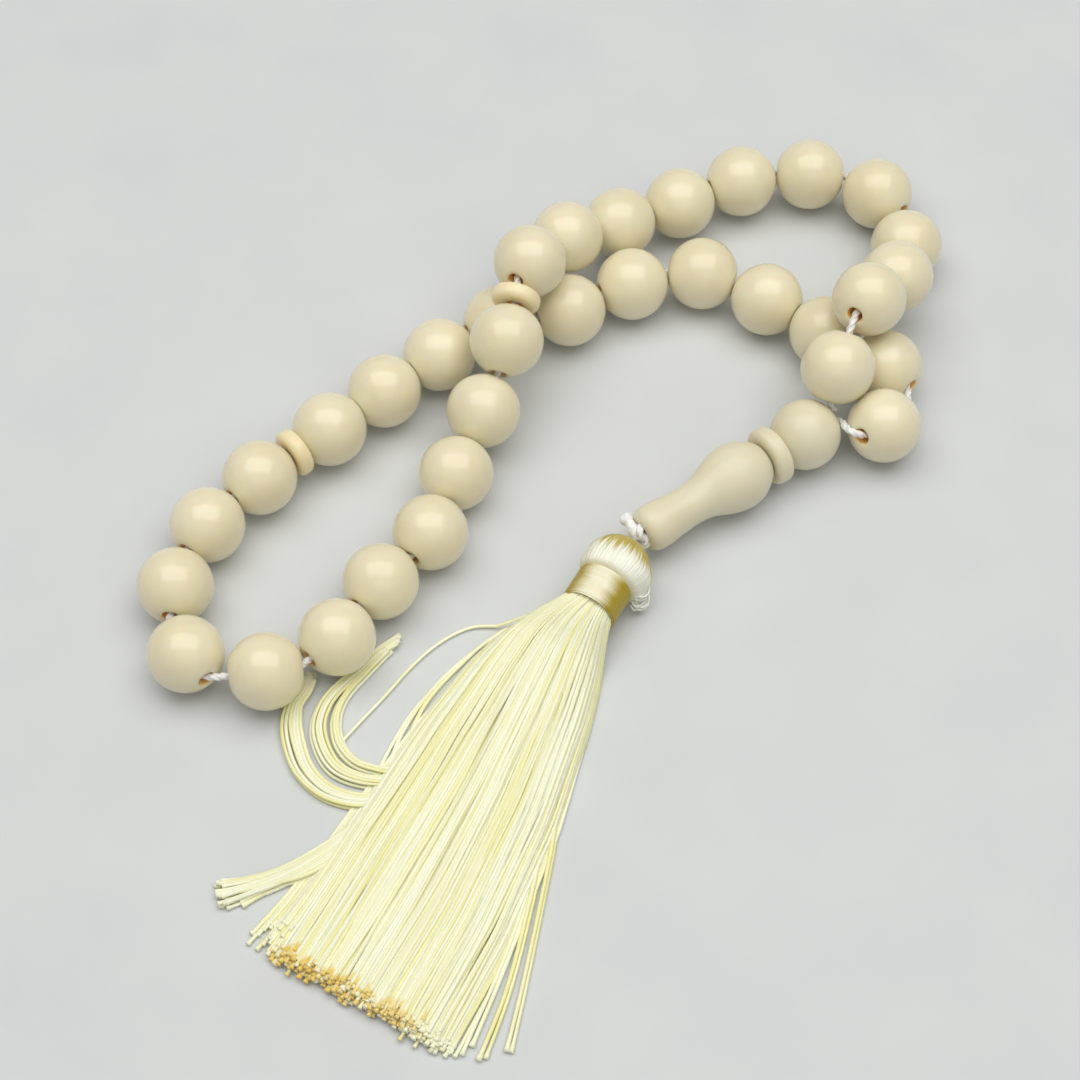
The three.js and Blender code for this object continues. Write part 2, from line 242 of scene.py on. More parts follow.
class Skin:
    """One mesh, gathered from tubes and turned shapes, with values at each vertex for its material."""

    def __init__(self):
        self.points = []
        self.faces = []
        self.uvs = []
        self.values = {}
        self.count = 0

    def add_rings(self, rings, closed, lengths, **values):
        """Rings of points, shaped (ring, side, xyz). closed joins the last ring to the first."""
        ring_count, sides, _ = rings.shape
        self.points.append(rings.reshape(-1, 3))
        for ring in range(ring_count if closed else ring_count - 1):
            following = (ring + 1) % ring_count
            v0, v1 = lengths[ring], lengths[ring + 1]
            for side in range(sides):
                a = self.count + ring * sides
                b = self.count + following * sides
                other = (side + 1) % sides
                u0, u1 = side / sides, (side + 1) / sides
                self.faces.append((a + side, b + side, b + other, a + other))
                self.uvs += (u0, v0, u0, v1, u1, v1, u1, v0)
        if not closed:
            last = self.count + (ring_count - 1) * sides
            self.faces.append(tuple(self.count + side for side in range(sides)))
            self.faces.append(tuple(last + side for side in reversed(range(sides))))
            self.uvs += (0.0, lengths[0]) * sides
            self.uvs += (0.0, lengths[-1]) * sides
        for key, value in values.items():
            spread = np.broadcast_to(np.asarray(value, float).reshape(-1, 1), (ring_count, sides))
            self.values.setdefault(key, []).append(spread.reshape(-1))
        self.count += ring_count * sides

    def add_tube(self, line, radius, sides, section=None, **values):
        """A tube along a line. section(angle, distance) scales its radius, for plies that twist."""
        line = np.asarray(line, float)
        tangent = unit(np.gradient(line, axis=0))
        across = np.empty_like(line)
        no_tubes_direction = (0.31, 0.17, 0.93)
        across[0] = unit(np.cross(tangent[0], no_tubes_direction))
        for i in range(1, len(line)):
            across[i] = unit(across[i - 1] - tangent[i] * (across[i - 1] @ tangent[i]))
        third = np.cross(tangent, across)
        steps = np.linalg.norm(np.diff(line, axis=0), axis=1)
        lengths = np.concatenate(([0], np.cumsum(steps)))
        angle = np.arange(sides) * TAU / sides
        size = np.broadcast_to(np.asarray(radius, float).reshape(-1, 1), (len(line), sides))
        if section:
            size = size * section(angle[None, :], lengths[:, None])
        outward = np.cos(angle)[None, :, None] * across[:, None]
        outward = outward + np.sin(angle)[None, :, None] * third[:, None]
        self.add_rings(line[:, None] + size[..., None] * outward, False, lengths / MM, **values)

    def add_turned(self, outline, origin, axis, **values):
        """A closed outline of (along, radius) turned about an axis through the origin point."""
        axis = unit(np.asarray(axis, float))
        leans = abs(axis @ UP) < 0.9
        across = unit(np.cross(axis, UP if leans else (1.0, 0.0, 0.0)))
        third = np.cross(axis, across)
        angle = np.arange(TURNED_SEGMENTS) * TAU / TURNED_SEGMENTS
        outward = np.cos(angle)[None, :, None] * across + np.sin(angle)[None, :, None] * third
        along, radius = np.asarray(outline, float).T
        rings = np.asarray(origin) + along[:, None, None] * axis + radius[:, None, None] * outward
        self.add_rings(rings, True, np.append(along, along[0]) / MM, **values)


def place(skin, name, material, body, replaces):
    """Makes a piece of this skin, which rides on a body and stands for these CAD nodes."""
    mesh = bpy.data.meshes.new(name)
    mesh.from_pydata(np.vstack(skin.points).tolist(), [], skin.faces)
    mesh.uv_layers.new(name="lay").data.foreach_set("uv", skin.uvs)
    for key, parts in skin.values.items():
        mesh.attributes.new(key, "FLOAT", "POINT").data.foreach_set("value", np.concatenate(parts))
    mesh.shade_smooth()
    mesh.materials.append(material)
    piece = bpy.data.objects.new(name, mesh)
    bpy.context.scene.collection.objects.link(piece)
    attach(piece, body)
    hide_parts(*replaces)
    return piece


# ---------------------------------------------------------------- materials

class Shader:
    """A Principled material whose nodes are added and joined by short calls."""

    def __init__(self, name, **constants):
        self.material = bpy.data.materials.new(name)
        self.material.use_nodes = True
        self.tree = self.material.node_tree
        self.principled = self.tree.nodes["Principled BSDF"]
        for socket, value in constants.items():
            self.principled.inputs[socket.replace("_", " ")].default_value = value

    def node(self, kind, inputs=None, **settings):
        made = self.tree.nodes.new("ShaderNode" + kind)
        for key, value in settings.items():
            setattr(made, key, value)
        for key, value in (inputs or {}).items():
            if isinstance(value, bpy.types.NodeSocket):
                self.tree.links.new(value, made.inputs[key])
            else:
                made.inputs[key].default_value = value
        return made

    def feed(self, socket, output):
        self.tree.links.new(output, self.principled.inputs[socket])

    def coordinates(self, kind="Object"):
        return self.node("TexCoord").outputs[kind]

    def stretched(self, coordinates, scale):
        return self.node("Mapping", {"Vector": coordinates, "Scale": scale}).outputs["Vector"]

    def value(self, name):
        return self.node("Attribute", attribute_name=name).outputs["Fac"]

    def noise(self, scale, detail, at=None):
        where = self.coordinates() if at is None else at
        inputs = {"Vector": where, "Scale": scale, "Detail": detail}
        return self.node("TexNoise", inputs).outputs["Fac"]

    def maths(self, operation, a, b):
        return self.node("Math", {0: a, 1: b}, operation=operation).outputs[0]

    def spread(self, value, low, high):
        """The value's 0.3 to 0.7, which is where a noise mostly keeps, stretched from low to high."""
        inputs = {"Value": value, "From Min": 0.3, "From Max": 0.7, "To Min": low, "To Max": high}
        return self.node("MapRange", inputs).outputs["Result"]

    def mix(self, share, first, second):
        factor, colour_a, colour_b, result = 0, 6, 7, 2  # the Mix node's own numbers for its colour sockets
        inputs = {factor: share, colour_a: first, colour_b: second}
        return self.node("Mix", inputs=inputs, data_type="RGBA").outputs[result]

    def bump(self, height, strength, distance):
        made = self.node("Bump", {"Height": height, "Strength": strength, "Distance": distance})
        self.feed("Normal", made.outputs["Normal"])


def srgb(red, green, blue):
    """A colour given in 0 to 255 steps of sRGB, as the linear colour that a shader takes."""
    def linear(step):
        share = step / 255
        return share / 12.92 if share <= 0.04045 else ((share + 0.055) / 1.055) ** 2.4
    return (linear(red), linear(green), linear(blue), 1.0)


def ivory(name, pale, warm, painted_glow, coat, roughness=0.5):
    """Polished resin: soft light inside it, faint clouding, and a warmer light painted into the bore."""
    shader = Shader(
        name,
        Subsurface_Weight=0.5,
        Subsurface_Radius=(1.0, 0.55, 0.25),
        Subsurface_Scale=1.8 * MM,
        Coat_Weight=coat,
        Coat_Roughness=0.07,
        Specular_IOR_Level=0.3,
        IOR=1.5,
    )
    clouds = shader.spread(shader.noise(130, 3.0), 0.0, 1.0)
    body = shader.mix(clouds, pale, warm)
    specks = shader.spread(shader.noise(900, 2.0), 0.0, 0.06)
    body = shader.mix(specks, body, srgb(214, 196, 150))
    # Painted light: the bore turns towards a warm colour that stands in for light shining through the
    # resin.
    body = shader.mix(shader.value("bore"), body, painted_glow)
    shader.feed("Base Color", body)
    shader.feed("Roughness", shader.spread(shader.noise(420, 4.0), roughness - 0.04, roughness + 0.06))
    shader.bump(shader.noise(500, 3.0), 0.02, 0.2 * MM)
    return shader.material


def cord_white():
    """White braided thread: fine strands that run along it."""
    shader = Shader("white_cord", Roughness=0.5, Sheen_Weight=0.35, Sheen_Roughness=0.4)
    along = shader.stretched(shader.coordinates("UV"), (9.0, 1.6, 1.0))
    strands = shader.noise(1.0, 3.0, at=along)
    share = shader.spread(strands, 0, 1)
    shader.feed("Base Color", shader.mix(share, srgb(253, 253, 251), srgb(228, 228, 228)))
    shader.bump(strands, 0.5, 0.06 * MM)
    return shader.material


def silk(name, pale, shade, gold, roughness, turning=0.0, sheen=0.3):
    """Silk thread: fibres along it, each thread its own shade, and golden where the gold values paint light
    and shade.

    turning is how much gold is painted where the silk turns away from the eye: painted shade standing in
    for satin's dimmer reflection there.
    """
    shader = Shader(
        name,
        Subsurface_Weight=0.12,
        Subsurface_Radius=(1.0, 0.9, 0.6),
        Subsurface_Scale=0.4 * MM,
        Sheen_Weight=sheen,
        Sheen_Roughness=0.4,
        Specular_IOR_Level=0.65,
    )
    lay = shader.coordinates("UV")
    fibres = shader.noise(1.0, 4.0, at=shader.stretched(lay, (5.0, 0.35, 1.0)))
    body = shader.mix(shader.value("tint"), pale, shade)
    body = shader.mix(shader.spread(fibres, 0.0, 0.2), body, shade)
    # Painted shade: gold is mixed in where the surface turns away from the eye.
    facing = shader.node("LayerWeight", {"Blend": 0.5}).outputs["Facing"]
    golden = shader.maths("MAXIMUM", shader.value("gold"), shader.spread(facing, 0.0, turning))
    body = shader.mix(golden, body, gold)
    shader.feed("Base Color", body)
    shader.feed("Roughness", shader.spread(fibres, roughness - 0.06, roughness + 0.1))
    twist = {"Vector": shader.stretched(lay, (2.0, 0.9, 1.0)), "Scale": 0.32, "Distortion": 0.6}
    wave = shader.node("TexWave", twist, bands_direction="DIAGONAL").outputs["Fac"]
    height = shader.maths("ADD", shader.maths("MULTIPLY", fibres, 0.6), wave)
    shader.bump(height, 0.35, 0.05 * MM)
    return shader.material


def floor_material():
    shader = Shader("pale_floor", Roughness=0.7)
    grain = shader.spread(shader.noise(60, 4.0), 0.0, 1.0)
    shader.feed("Base Color", shader.mix(grain, srgb(205, 208, 210), srgb(210, 213, 214)))
    return shader.material


# ---------------------------------------------------------------- beads, discs and imam

def arc(centre, radius, start, end, steps):
    """Points of (along, radius) on a circle's arc, angles in degrees from the +along direction."""
    angles = np.radians(np.linspace(start, end, steps + 1))
    return [(centre[0] + radius * math.cos(a), centre[1] + radius * math.sin(a)) for a in angles]


def with_bore(outline, bore):
    """Closes an outer outline with a bore whose mouths are rounded, and gives each point's share of the
    painted warm light in the bore.
    """
    first, last = outline[0][0], outline[-1][0]
    edge = bore / 2 + MOUTH_ROUND
    steps = len(MOUTH_PAINTED_GLOW) - 1
    before = arc((first + MOUTH_ROUND, edge), MOUTH_ROUND, 270, 180, steps)
    after = arc((last - MOUTH_ROUND, edge), MOUTH_ROUND, 0, -90, steps)
    inner = [(x, bore / 2) for x in np.linspace(last - MOUTH_ROUND, first + MOUTH_ROUND, 10)[1:-1]]
    points = before + list(outline) + after + inner
    painted_glow = MOUTH_PAINTED_GLOW + [0.0] * len(outline) + MOUTH_PAINTED_GLOW[::-1] + [1.0] * len(inner)
    return np.array(points), np.array(painted_glow)


def ball_outline(diameter, length):
    """A ball of this diameter, cut flat so that it is this long."""
    cut = math.degrees(math.acos(length / diameter))
    return arc((0, 0), diameter / 2, 180 - cut, cut, 44)


def disc_outline(diameter, length, rounding):
    """A disc with rounded edges and a rim that is nearly flat."""
    height = diameter / 2 - rounding
    left = arc((-length / 2 + rounding, height), rounding, 180, 90 + RIM_CURVE, 8)
    right = arc((length / 2 - rounding, height), rounding, 90 - RIM_CURVE, 0, 8)
    return left + right


def joint_of(body):
    return next(joint for joint in frame["joints"] if joint["child"] == body)


def middle(node):
    low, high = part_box(node)
    return np.array((low + high) / 2)


def thread_pieces():
    """The names of the beads and discs, in the order in which the string passes through them."""
    names = []
    for section in range(SECTIONS):
        if section:
            names.append(f"marker_disc_{section}")
        for i in range(1, BEADS_IN_SECTION + 1):
            names.append(f"bead_{section * BEADS_IN_SECTION + i:02d}")
    return names


def make_beads():
    # The warm colour of the light painted into the bores.
    painted_glow_colour = srgb(255, 208, 128)
    bead_ivory = ivory("bead_ivory", srgb(236, 229, 200), srgb(230, 220, 186), painted_glow_colour, coat=0.9)
    disc_ivory = ivory("disc_ivory", srgb(244, 231, 193), srgb(238, 223, 180), painted_glow_colour, coat=0.5)
    bead = with_bore(ball_outline(BEAD_DIAMETER, BEAD_LENGTH), BEAD_BORE)
    disc = with_bore(disc_outline(DISC_DIAMETER, DISC_LENGTH, DISC_ROUND), BEAD_BORE)
    for node in thread_pieces():
        is_bead = node.startswith("bead")
        outline, painted_glow = bead if is_bead else disc
        material = bead_ivory if is_bead else disc_ivory
        skin = Skin()
        skin.add_turned(outline, middle(node), joint_of(node)["axis"], bore=painted_glow)
        place(skin, "turned_" + node, material, node, [node])


def imam_line():
    """The middle of the imam's tassel end, and the direction from there to its head bead."""
    joint = joint_of("imam_body")
    return np.array(joint["pos_m"]), unit(np.array(joint["axis"]))


def moved_along(outline, distance):
    return [(along + distance, radius) for along, radius in outline]


def make_imam():
    pale = srgb(228, 223, 197)
    material = ivory("imam_ivory", pale, srgb(222, 215, 186), pale, coat=0.4)
    end, axis = imam_line()
    body = smooth_line(np.array(IMAM_BODY) * MM, 80)
    collar = disc_outline(IMAM_COLLAR_DIAMETER, IMAM_COLLAR_LENGTH, IMAM_COLLAR_ROUND)
    head = ball_outline(IMAM_HEAD_DIAMETER, IMAM_HEAD_LENGTH)
    outlines = {
        "imam_body": [tuple(point) for point in body],
        "imam_collar": moved_along(collar, IMAM_COLLAR_AT),
        "imam_head_bead": moved_along(head, IMAM_HEAD_AT),
    }
    for node, outline in outlines.items():
        points, painted_glow = with_bore(outline, IMAM_BORE)
        skin = Skin()
        skin.add_turned(points, end, axis, bore=painted_glow)
        place(skin, "turned_" + node, material, node, [node])


# ---------------------------------------------------------------- string and knot

def plies(count, pitch, depth=0.46):
    """The section of a cord of this many twisted plies. depth is how far the grooves between them go in."""
    def section(angle, distance):
        turned = (angle - TAU * distance / pitch) % (TAU / count) - math.pi / count
        return depth * np.cos(turned) + np.sqrt((1 - depth) ** 2 - (depth * np.sin(turned)) ** 2)
    return section


def string_route():
    """The string's line: in through the imam, round through every piece, and back through the imam."""
    end, axis = imam_line()
    side = np.cross(UP, axis) * IMAM_STRAND_OFFSET
    route = [end + axis * stop + side for stop in IMAM_STRAND_STOPS]
    route += [np.array(point) for point in STRING_LEAVING]
    for node in thread_pieces():
        length = BEAD_CAD_LENGTH if node.startswith("bead") else DISC_CAD_LENGTH
        reach = unit(np.array(joint_of(node)["axis"])) * length * STRAIGHT_SHARE
        route += [middle(node) - reach, middle(node) + reach]
    route += [np.array(point) for point in STRING_RETURN]
    route += [end + axis * stop - side for stop in reversed(IMAM_STRAND_STOPS)]
    return route


def make_string(material):
    route = string_route()
    rough = smooth_line(route, 3000)
    line = smooth_line(route, round(length_of(rough) / STRING_STEP))
    skin = Skin()
    skin.add_tube(line, STRING_DIAMETER / 2, sides=18, section=plies(3, STRING_PITCH))
    string = place(skin, "twisted_string", material, "string", ["string"])
    knot = make_knot(material)


def make_knot(material):
    """Both ends of the string in a small round knot against the imam, with a melted tail."""
    end, axis = imam_line()
    side = np.cross(UP, axis)
    centre = end - axis * KNOT_BACK
    t = np.linspace(0, TAU, 120)
    wide = (np.sin(t) + 2 * np.sin(2 * t)) * KNOT_WIDE
    high = (2 * np.cos(2 * t) - np.cos(t)) * KNOT_HIGH
    deep = -np.sin(3 * t) * KNOT_DEEP
    loop = centre + wide[:, None] * side + high[:, None] * UP + deep[:, None] * axis
    skin = Skin()
    skin.add_tube(loop, KNOT_CORD_RADIUS, sides=14, section=plies(3, STRING_PITCH))
    steps = 60
    tail = smooth_line(KNOT_TAIL, steps) * MM
    lumps = np.interp(np.linspace(0, 1, steps), TAIL_SHARES, TAIL_RADII)
    skin.add_tube(tail, lumps * MM, sides=16, section=plies(4, pitch=5 * MM, depth=0.3))
    return place(skin, "melted_knot", material, "string", ["string_knot"])


# ---------------------------------------------------------------- tassel

def from_tassel(points):
    """Points of the tassel's own frame as points of the whole object's frame, both in metres."""
    turn = np.array(Matrix.Rotation(TASSEL_HEADING, 3, "Z"))
    return np.asarray(points, float) @ turn.T + np.array(TASSEL_AT)


def round_axis(along, radius, angle):
    """Points of the tassel's own frame at this radius and this angle round its axis."""
    return np.column_stack((along, radius * np.cos(angle), AXIS_HEIGHT + radius * np.sin(angle)))


def hang(skin, name, material, slot, *nodes):
    return place(skin, name, material, "tassel", nodes)


def make_head(material, rng):
    """A dome of strands that run from the hole at the top, over it and under the binding."""
    skin = Skin()
    outline = smooth_line(HEAD_OUTLINE, HEAD_STEPS) * MM
    share = np.linspace(0, 1, HEAD_STEPS)
    standing_out = np.sin(share * math.pi) ** 0.5
    puffed = np.exp(-((share - 0.7) / 0.18) ** 2)  # most of all at 0.7 of the way down
    thick = np.interp(share, (0, 0.25, 0.6, 1), (0.1, 0.17, 0.24, 0.18)) * MM
    # Painted shade: the strands turn golden just above the binding, which shades them there.
    painted_binding_shade = 0.55 * rising(share, 0.84, 0.1)
    for i in range(HEAD_STRANDS):
        angle = TAU * (i + rng.uniform(-0.35, 0.35)) / HEAD_STRANDS
        lift = rng.uniform(-0.03, 0.03) * MM
        wander = rng.uniform(-0.03, 0.03) * np.sin(share * math.pi * rng.uniform(1.0, 2.5))
        puff = PUFF_HEIGHT * max(0, math.cos(angle - PUFF_SIDE)) ** 2 * puffed
        line = round_axis(outline[:, 0], outline[:, 1] + (lift + puff) * standing_out, angle + wander)
        # Painted light and shade: golden over the crown, where the strands turn away from the light, and
        # pale below it.
        painted_crown_shade_end = 0.64 + rng.uniform(-0.1, 0.1)
        painted_crown_shade = falling(share, painted_crown_shade_end, 0.16) * rng.uniform(0.85, 1.0)
        gold = np.maximum(painted_crown_shade, painted_binding_shade)
        skin.add_tube(from_tassel(line), thick, sides=6, gold=gold, tint=rng.uniform(0, 0.5))
    add_head_core(skin)
    hang(skin, "silk_head", material, "tassel_silk", "tassel_head")


def add_head_core(skin):
    """The solid under the head's strands, with a hole down its middle for the hanger."""
    core = smooth_line(HEAD_CORE, 30) * MM
    closed = np.vstack((core, np.array(HEAD_CORE_BORE) * MM))
    origin = from_tassel([(0, 0, AXIS_HEIGHT)])[0]
    axis = from_tassel([(1, 0, AXIS_HEIGHT)])[0] - origin
    skin.add_turned(closed, origin, axis, gold=0.2, tint=1.0)


def make_hanger(material):
    """The doubled cord from the knot down into the head."""
    line = from_tassel(smooth_line(HANGER, 60) * MM)
    skin = Skin()
    skin.add_tube(line, HANGER_RADIUS, sides=16, section=plies(2, pitch=4 * MM, depth=0.5))
    hang(skin, "twisted_hanger", material, "string_cord", "tassel_hanger")


def make_binding(material, rng):
    """Close turns of fine thread round the gathered silk, golden but for a painted highlight along the top.
    """
    turns = round((BINDING_END - BINDING_START) / BINDING_PITCH)
    t = np.linspace(0, turns, turns * BINDING_STEPS + 1)

    def uneven(low, high):
        """A value that differs from turn to turn."""
        return np.interp(t, range(turns + 1), [rng.uniform(low, high) for _ in range(turns + 1)])

    radius = BINDING_RADIUS + uneven(-0.03, 0.03) * MM
    turns_from_end = np.minimum(t, turns - t)
    radius -= 0.22 * MM * falling(turns_from_end, 2.5, 2.5) ** 2
    angle = TAU * t
    tint = uneven(0, 1)
    # Painted light and shade: each turn is pale along the top, where it faces the light, as a painted
    # highlight, and golden where it turns away from it.
    top = math.pi / 2
    from_painted_highlight = np.abs((angle - top + math.pi) % TAU - math.pi + uneven(-0.1, 0.1))
    gold = rising(from_painted_highlight, 0.28, 0.55)
    line = round_axis(BINDING_START + t * BINDING_PITCH, radius, angle)
    skin = Skin()
    skin.add_tube(from_tassel(line), BINDING_THREAD_RADIUS, sides=7, gold=gold, tint=tint)
    hang(skin, "silk_binding", material, "gold_silk", "tassel_binding")


# ---------------------------------------------------------------- skirt and loose threads

def eased(points, at):
    """The line through these points, with its corners rounded off, read at these places."""
    dense = np.arange(-4, 76, 0.25)
    x, y = np.asarray(points, float).T
    level = np.interp(dense, x, y)
    window = np.hanning(23)
    padded = np.pad(level, len(window) // 2, mode="edge")
    rounded = np.convolve(padded, window / window.sum(), mode="valid")
    return np.interp(at, dense, rounded)


def wandering(rng, at, size, wavelength):
    """A slow random swing along a thread, which is zero where it leaves the binding."""
    waves = 0
    for _ in range(2):
        strength = rng.uniform(0.3, 1.0)
        length = wavelength * rng.uniform(0.6, 1.6)
        waves = waves + strength * np.sin(TAU * at / length + rng.uniform(0, TAU))
    return size * waves * rising(at, SKIRT_FREE, 14)


def skirt_height(rng, at, ranks, layer):
    """How high a thread lies: bound round the tassel's axis, then let down into a low heap."""
    across = 2 * ranks - 1
    bound = AXIS_HEIGHT / MM + (2 * layer - 1) * BOUND_RADIUS * np.sqrt(np.clip(1 - across ** 2, 0, 1))
    top = HEAP_HEIGHT + GATHER_HEIGHT * np.clip(np.exp((7.3 - at) / 12), 0, 1)
    bottom = 1.0 * falling(at, 13, 6) + THREAD_RADIUS
    squareness = 2.2 + 4.5 * rising(at, SKIRT_FREE, 20)
    edge = np.clip(1 - np.abs(across) ** squareness, 0, 1)
    depth = np.clip(layer + wandering(rng, at, 0.04, 40), 0, 1)
    heaped = bottom + np.clip(top - THREAD_RADIUS - bottom, 0, None) * edge * depth
    release = rising(at, 6.2, 7)
    release = release * release * (3 - 2 * release)
    return np.maximum(bound * (1 - release) + heaped * release, THREAD_RADIUS)


def skirt_thread(rng, rank, layer):
    """One thread. rank is 0 at the left edge and 1 at the right, layer 0 on the table and 1 on top."""
    end = SKIRT_END - SKIRT_TOP_SHORTER * layer + rng.gauss(0, 0.35)
    if rank < 0.1:
        end -= rng.uniform(0, 4)
    length_steps = np.linspace(SKIRT_START, end - 2, 49)
    tip_steps = np.linspace(end - 1.7, end, 9)
    at = np.append(length_steps, tip_steps)
    ranks = rank + wandering(rng, at, 0.0045, 46) + rng.gauss(0, 0.03) * (at - SKIRT_FREE) / 56
    left, right = eased(SKIRT_LEFT, at), eased(SKIRT_RIGHT, at)
    across = left + (right - left) * ranks
    across -= rising(at, 50, 15) ** 2 * max(0, FAN_RANK - rank) * FAN * rng.uniform(0.4, 1.0)
    up = skirt_height(rng, at, ranks, layer)
    return np.stack([at, across, up], axis=1) * MM


def painted_tip_shading(at, rank, rng):
    """How golden a thread is painted along its length, as painted light and shade at its cut end: only
    there, and not at the skirt's two sides.
    """
    away_from_sides = rising(rank, 0.05, 0.06) * falling(rank, 0.88, 0.1)
    reach = rng.uniform(0.6, 1.7)
    strength = min(1, rng.uniform(0.0, 1.8)) * (1 - 0.35 * rank)
    return rising(at, at[-1] - reach, 0.5 * reach) * away_from_sides * strength


def add_thread(skin, rng, line, gold, depth=0.0):
    """A thread that swells and grows paler at its cut end. depth paints it more yellow, as painted shade
    under other threads.
    """
    share = np.linspace(0, 1, len(line))
    swelling = np.interp(share, (0, 0.16, 0.96, 1), (0.7, 1, 1, 1.45))
    radius = swelling * THREAD_DIAMETER / 2 * rng.uniform(0.8, 1.1)
    slow = 0.3 * np.sin(TAU * share * rng.uniform(0.6, 2.2) + rng.uniform(0, TAU))
    # depth adds painted shade: lower threads lean to the yellow shade colour.
    tint = np.clip(rng.uniform(0, 1) ** 2 + slow + depth, 0, 1) * np.interp(share, (0, 0.9, 1), (1, 1, 0.2))
    resting = np.column_stack((line[:, :2], np.maximum(line[:, 2], radius)))
    skin.add_tube(from_tassel(resting), radius, sides=7, gold=gold, tint=tint)


def make_skirt(material, rng):
    """The skirt's threads, in three pieces side by side. The middle one also stands for the core."""
    thirds = [Skin(), Skin(), Skin()]
    for layer in range(SKIRT_LAYERS):
        for i in range(SKIRT_ACROSS):
            rank = (i + 0.5 + rng.uniform(-0.4, 0.4)) / SKIRT_ACROSS
            height = ((layer + rng.uniform(0.1, 0.9)) / SKIRT_LAYERS) ** 0.6
            line = skirt_thread(rng, rank, height)
            # Painted light and shade at the cut ends, given as gold.
            gold = painted_tip_shading(line[:, 0] / MM, rank, rng)
            third = thirds[min(2, int(rank * 3))]
            # Painted shade: the lower a thread lies in the heap, the yellower it is.
            add_thread(third, rng, line, gold, depth=0.25 * (1 - height))
    left, centre, right = thirds
    hang(left, "silk_skirt_left", material, "tassel_silk", "tassel_skirt")
    hang(centre, "silk_skirt_middle", material, "tassel_silk", "tassel_skirt", "tassel_core")
    hang(right, "silk_skirt_right", material, "tassel_silk", "tassel_skirt")


def bundle(rng, route, count, widths, steps=64):
    """Threads that lie side by side along a route, in mm, with the bundle's width at each of its points."""
    route = np.asarray(route, float)
    centre = smooth_line(np.column_stack((route, widths)), steps)
    line, width = centre[:, :2], centre[:, 2]
    tangent = unit(np.gradient(line, axis=0))
    aside = np.stack([-tangent[:, 1], tangent[:, 0]], axis=1)
    crowding = np.clip(count * 2 * THREAD_RADIUS / width - 0.8, 0, 1.2)
    for i in range(count):
        place_in = (i + 0.5) / count * 2 - 1
        crossing = rng.uniform(-0.2, 0.2)
        phase = np.linspace(0, rng.uniform(2, 5), steps) + rng.uniform(0, TAU)
        flat = line + aside * (width / 2 * (place_in + crossing * np.sin(phase)))[:, None]
        up = THREAD_RADIUS + 2 * THREAD_RADIUS * (i % 2) * crowding
        shorter_by = int(rng.uniform(0, 0.06) * steps)
        yield np.column_stack((flat, up))[shorter_by:] * MM


def add_bundle(skin, rng, route, count, widths):
    """A bundle whose route starts at its cut tip and ends under the skirt."""
    for line in bundle(rng, route, count, widths):
        add_thread(skin, rng, line[::-1], 0.0)


def make_right_threads(material, rng):
    """The threads that have left the skirt on its right."""
    skin = Skin()
    outer = [(63.3, 20.9), (55, 18.3), (41.8, 13.8), (35.2, 11.4), (28, 8.2)]
    between = [(65.2, 18.4), (55, 16.5), (44, 13.2), (34, 9.8)]
    inner = [(64.6, 16.2), (50, 13.9), (36, 10.4)]
    add_bundle(skin, rng, outer, 2, (1.1, 0.8, 0.7, 0.7, 0.5))
    add_bundle(skin, rng, between, 2, (1.5, 0.9, 0.8, 0.6))
    add_bundle(skin, rng, inner, 2, (1.1, 0.9, 0.6))
    hang(skin, "loose_silk_right", material, "tassel_silk", "right_loose_threads")


def make_left_threads(material, rng):
    """The bundle at the skirt's lower left, and the single threads along its left edge."""
    skin = Skin()
    lower = [(62.1, -20.1), (59.6, -17.6), (56.2, -14.8), (52, -12.4), (45, -9.5)]
    add_bundle(skin, rng, lower, 22, (3.7, 2.7, 2.3, 2.4, 2.4))
    singles = (
        [(40, -10.3), (33, -12.3), (25, -12.5), (18, -11), (12, -8.6), (8, -4.6)],
        [(46, -10.6), (38, -12.2), (29, -12.9), (21, -11.7), (13, -9.0), (8, -4.6)],
        [(36, -10.6), (27, -12.1), (20, -11.3), (14, -9.6), (8, -4.8)],
    )
    for route in singles:
        add_bundle(skin, rng, route, 1, [0.4] * len(route))
    beside = [(61.9, -17.2), (59.4, -15.8), (56.9, -14.1), (54.2, -11.8), (48, -9)]
    add_bundle(skin, rng, beside, 2, (1.2, 0.7, 0.5, 0.5, 0.5))
    hang(skin, "loose_silk_left", material, "tassel_silk", "left_loose_threads")


def make_outer_curl(material, rng):
    """The bundle whose tip reaches furthest from the skirt, bent back to it in a hook."""
    skin = Skin()
    route = [
        (30.2, -26.8), (32.8, -26.1), (35.3, -26.2), (37.7, -25.2), (40.3, -23.1),
        (42.7, -20.1), (43.8, -16.5), (43.3, -13), (41.5, -9.5),
    ]
    add_bundle(skin, rng, route, 12, (1.0, 1.5, 2.1, 2.7, 2.9, 2.7, 2.3, 2.0, 1.8))
    hang(skin, "outer_silk_curl", material, "tassel_silk", "outer_curl_bundle")


def make_inner_curl(material, rng):
    """The inner curl, whose two strands of thread part near their tips."""
    skin = Skin()
    left = [
        (20.3, -19.7), (23.4, -21), (26.7, -21.7), (29.7, -22.5), (32.9, -22.9),
        (36.2, -22.1), (38.7, -20), (40.4, -17), (40.3, -13.6), (38.6, -9.6),
    ]
    right = [
        (22.4, -20.2), (27, -20.9), (30.7, -21.3), (33.2, -21), (35.5, -19.9),
        (37.4, -18), (38.4, -15.2), (37.9, -12), (36.4, -8.6),
    ]
    add_bundle(skin, rng, left, 8, (1.3, 1.2, 1.3, 1.5, 1.7, 1.9, 2.0, 1.9, 1.6, 1.4))
    add_bundle(skin, rng, right, 5, (0.8, 0.9, 0.9, 1.1, 1.4, 1.5, 1.4, 1.2, 1.0))
    hang(skin, "inner_silk_curl", material, "tassel_silk", "inner_curl_bundle")


